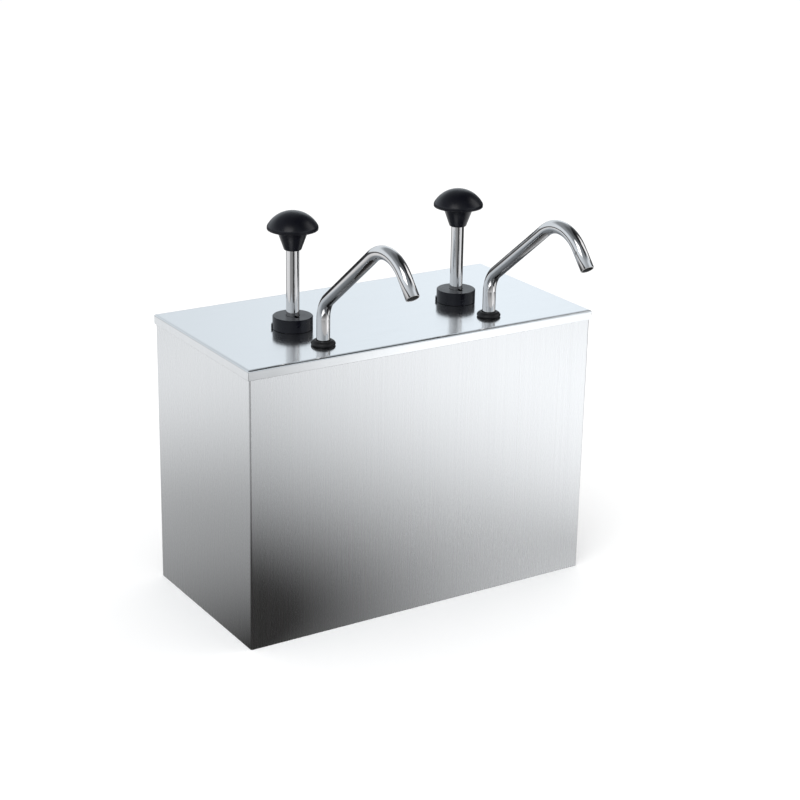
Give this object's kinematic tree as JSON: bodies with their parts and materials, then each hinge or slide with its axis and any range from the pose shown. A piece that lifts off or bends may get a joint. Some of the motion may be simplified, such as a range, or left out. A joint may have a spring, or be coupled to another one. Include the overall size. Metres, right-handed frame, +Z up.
{
  "type": "condiment pump dispenser",
  "caption": "Countertop steel case with a lift-off lid, press-down plunger pumps with round knobs, bent spout tubes and removable inner tubs for sauces.",
  "frame": {"origin": "centre of the base's underside, midway between the case's sides", "axes": "+X to the user's right along the front, +Y to the back, +Z up; the spouts reach towards -Y"},
  "size_m": [0.3624, 0.3001, 0.3755],
  "materials": {
    "case_steel": "brushed vertically, satin",
    "lid_steel": "smooth satin",
    "tub_plastic": "translucent natural polypropylene",
    "black_plastic": "satin moulded",
    "grommet_rubber": "satin",
    "brass": "turned",
    "polished_steel": "mirror polished",
    "turned_steel": "fine turned",
    "spring_steel": "drawn wire",
    "white_acetal": "satin machined",
    "seal_rubber": "matte silicone"
  },
  "bodies": {
    "case": {"front_wrap": "case_steel", "back_panel": "case_steel", "base_pan": "case_steel", "tub_divider": "case_steel"},
    "lid": {"lid": "lid_steel", "rod_guide_left": "white_acetal", "rod_guide_right": "white_acetal", "rod_wiper_left": "seal_rubber", "rod_wiper_right": "seal_rubber", "pump_cylinder_left": "turned_steel", "pump_cylinder_right": "turned_steel", "lid_gasket_left": "seal_rubber", "lid_gasket_right": "seal_rubber", "return_spring_left": "spring_steel", "return_spring_right": "spring_steel", "valve_block_left": "white_acetal", "valve_block_right": "white_acetal", "block_seal_left": "seal_rubber", "block_seal_right": "seal_rubber", "inlet_cage_left": "turned_steel", "inlet_cage_right": "turned_steel", "passage_plug_left": "turned_steel", "passage_plug_right": "turned_steel", "discharge_tube_left": "polished_steel", "discharge_tube_right": "polished_steel", "tube_nut_left": "white_acetal", "tube_nut_right": "white_acetal", "tube_seal_left": "seal_rubber", "tube_seal_right": "seal_rubber", "spout_grommet_left": "grommet_rubber", "spout_grommet_right": "grommet_rubber"},
    "tub_left": {"tub_left": "tub_plastic"},
    "plunger_left": {"knob_left": "black_plastic", "knob_insert_left": "brass", "plunger_rod_left": "polished_steel", "stop_sleeve_left": "white_acetal", "piston_left": "white_acetal", "piston_seal_left": "seal_rubber", "piston_washer_left": "turned_steel", "piston_nut_left": "turned_steel"},
    "collar_left": {"lock_collar_left": "black_plastic"},
    "inlet_valve_left": {"inlet_ball_left": "turned_steel"},
    "outlet_valve_left": {"outlet_ball_left": "turned_steel"},
    "tub_right": {"tub_right": "tub_plastic"},
    "plunger_right": {"knob_right": "black_plastic", "knob_insert_right": "brass", "plunger_rod_right": "polished_steel", "stop_sleeve_right": "white_acetal", "piston_right": "white_acetal", "piston_seal_right": "seal_rubber", "piston_washer_right": "turned_steel", "piston_nut_right": "turned_steel"},
    "collar_right": {"lock_collar_right": "black_plastic"},
    "inlet_valve_right": {"inlet_ball_right": "turned_steel"},
    "outlet_valve_right": {"outlet_ball_right": "turned_steel"}
  },
  "joints": [
    {"name": "lid_lift", "type": "slide", "parent": "case", "child": "lid", "axis": [0, 0, 1], "range_m": [0, 0.56]},
    {"name": "tub_left_lift", "type": "slide", "parent": "case", "child": "tub_left", "axis": [0, 0, 1], "range_m": [0, 0.28]},
    {"name": "plunger_left_press", "type": "slide", "parent": "lid", "child": "plunger_left", "axis": [0, 0, -1], "range_m": [0, 0.056], "stiffness_N_per_m": 250, "springref_m": -0.03, "deforming": ["return_spring_left"]},
    {"name": "collar_left_turn", "type": "hinge", "parent": "lid", "child": "collar_left", "pos_m": [-0.09, -0.005, 0.2623], "axis": [0, 0, 1], "range_deg": [0, 90]},
    {"name": "inlet_left_check", "type": "slide", "parent": "lid", "child": "inlet_valve_left", "axis": [0, 0, 1], "range_m": [0, 0.004]},
    {"name": "outlet_left_check", "type": "slide", "parent": "lid", "child": "outlet_valve_left", "axis": [0, 0, 1], "range_m": [0, 0.004]},
    {"name": "tub_right_lift", "type": "slide", "parent": "case", "child": "tub_right", "axis": [0, 0, 1], "range_m": [0, 0.28]},
    {"name": "plunger_right_press", "type": "slide", "parent": "lid", "child": "plunger_right", "axis": [0, 0, -1], "range_m": [0, 0.056], "stiffness_N_per_m": 250, "springref_m": -0.03, "deforming": ["return_spring_right"]},
    {"name": "collar_right_turn", "type": "hinge", "parent": "lid", "child": "collar_right", "pos_m": [0.086, -0.005, 0.2623], "axis": [0, 0, 1], "range_deg": [0, 90]},
    {"name": "inlet_right_check", "type": "slide", "parent": "lid", "child": "inlet_valve_right", "axis": [0, 0, 1], "range_m": [0, 0.004]},
    {"name": "outlet_right_check", "type": "slide", "parent": "lid", "child": "outlet_valve_right", "axis": [0, 0, 1], "range_m": [0, 0.004]}
  ],
  "couplings": [
    {"joint": "tub_left_lift", "follows": "lid_lift", "ratio": 0.5},
    {"joint": "tub_right_lift", "follows": "lid_lift", "ratio": 0.5}
  ]
}
